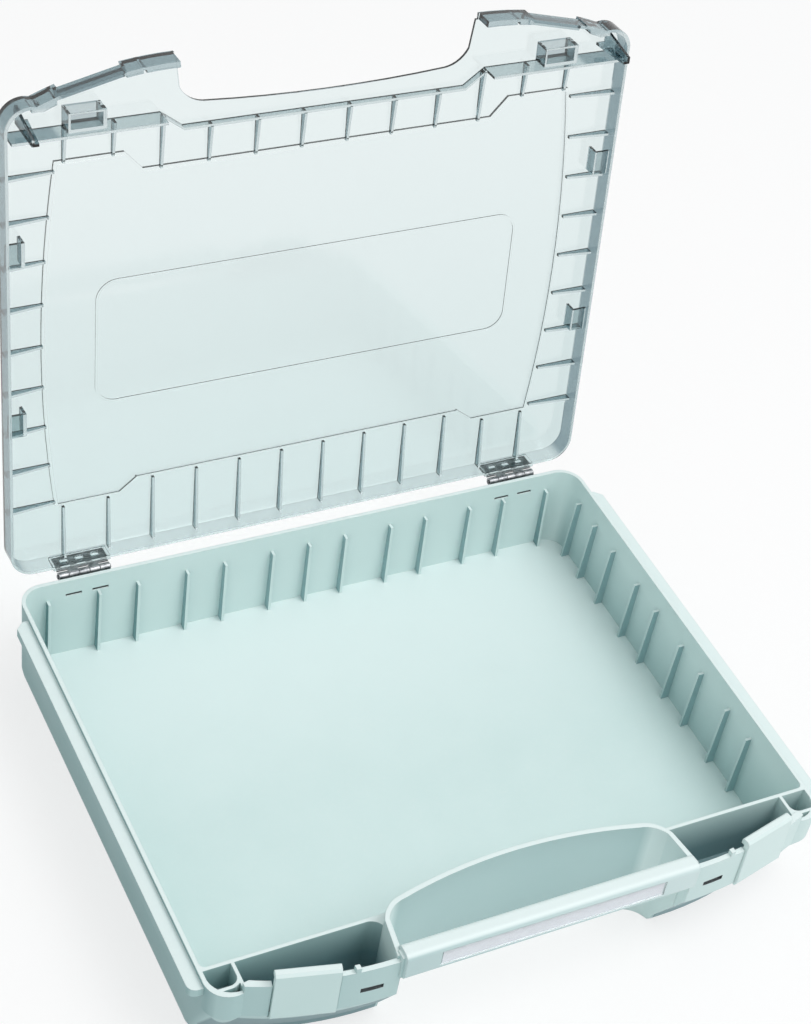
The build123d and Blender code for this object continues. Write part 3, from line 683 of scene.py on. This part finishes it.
def makeFloor(values):
    # one square, flat on the plane that the case stands on
    reach = values["floorSize"] / 2
    mesh = bpy.data.meshes.new("floor")
    corners = np.array([(-1, -1, 0), (1, -1, 0), (1, 1, 0), (-1, 1, 0)], float) * reach
    mesh.from_pydata(corners.tolist(), [], [(0, 1, 2, 3)])
    floor = bpy.data.objects.new("floor", mesh)
    bpy.context.scene.collection.objects.link(floor)
    material, tree = newMaterial("floorPaper")
    surface = addNode(tree, "ShaderNodeBsdfDiffuse")
    cloud = noise(tree, tree.nodes.new("ShaderNodeTexCoord").outputs["Object"], *values["cloud"])
    pale = values["floorColour"]
    shade = tuple(values["cloudShade"] * c for c in pale)
    link(tree, mixColour(tree, cloud, pale, shade), surface.inputs["Color"])
    white = addNode(tree, "ShaderNodeEmission", Strength=1.0)
    finished(tree, mixShader(tree, product(tree, seenDirectly(tree), values["floorWhite"]), surface, white))
    mesh.materials.append(material)


def makeSky(values):
    # plain sky light; the camera, mirrors and clear plastic see it white
    world = bpy.data.worlds.new("sky")
    bpy.context.scene.world = world
    world.use_nodes = True
    tree = world.node_tree
    tree.nodes.clear()
    light = addNode(tree, "ShaderNodeBackground", Strength=values["sky"])
    light.inputs["Color"].default_value = (*values["skyColour"], 1.0)
    white = addNode(tree, "ShaderNodeBackground", Strength=1.0)
    white.inputs["Color"].default_value = (1.0, 1.0, 1.0, 1.0)
    output = tree.nodes.new("ShaderNodeOutputWorld")
    link(tree, mixShader(tree, seenDirectly(tree), light, white), output.inputs["Surface"])


def makeLamp(name, values):
    # square soft box; its back is the unit vector from the aim, its side lies level
    place, size, power = (values[name + what] for what in ("Place", "Size", "Power"))
    data = bpy.data.lights.new(name + "Lamp", "AREA")
    data.size = size
    data.energy = power
    lamp = bpy.data.objects.new(name + "Lamp", data)
    bpy.context.scene.collection.objects.link(lamp)
    away = np.array(place, float) - values["aim"]
    away /= np.linalg.norm(away)
    side = np.cross((0.0, 0.0, 1.0), away)
    side /= np.linalg.norm(side)
    up = np.cross(away, side)
    turn = np.eye(4)
    turn[:3, 0], turn[:3, 1], turn[:3, 2], turn[:3, 3] = side, up, away, place
    lamp.matrix_world = Matrix(turn.tolist())


makeFloor(studio)
makeSky(studio)
makeLamp("key", studio)
makeLamp("fill", studio)
print("floor, sky and lamps set")


# Camera

view = {
    "target": (0.08478, 0.09243, 0.11388),
    "azimuth": -34.707,
    "elevation": 41.031,
    "roll": 11.896,
    "distance": 1.35683,
    "lens": 84.45,
    "shift": (-0.0883, -0.0246),
    "sensor": 36.0,
    "clip": (0.05, 50.0),
}


def makeCamera(values):
    # back is the unit vector from target to camera; right and up are turned about it by the roll
    a, e, r = (math.radians(values[key]) for key in ("azimuth", "elevation", "roll"))
    back = np.array((math.sin(a) * math.cos(e), -math.cos(a) * math.cos(e), math.sin(e)))
    right = np.array((math.cos(a), math.sin(a), 0.0))
    up = np.cross(back, right)
    turn = np.eye(4)
    turn[:3, 0] = right * math.cos(r) + up * math.sin(r)
    turn[:3, 1] = up * math.cos(r) - right * math.sin(r)
    turn[:3, 2] = back
    turn[:3, 3] = np.array(values["target"]) + back * values["distance"]
    data = bpy.data.cameras.new("camera")
    data.sensor_fit = "AUTO"
    data.sensor_width = values["sensor"]
    data.lens = values["lens"]
    data.shift_x, data.shift_y = values["shift"]
    data.clip_start, data.clip_end = values["clip"]
    camera = bpy.data.objects.new("camera", data)
    camera.matrix_world = Matrix(turn.tolist())
    bpy.context.scene.collection.objects.link(camera)
    bpy.context.scene.camera = camera


makeCamera(view)
bpy.context.scene.view_settings.view_transform = "Standard"
print("camera set")
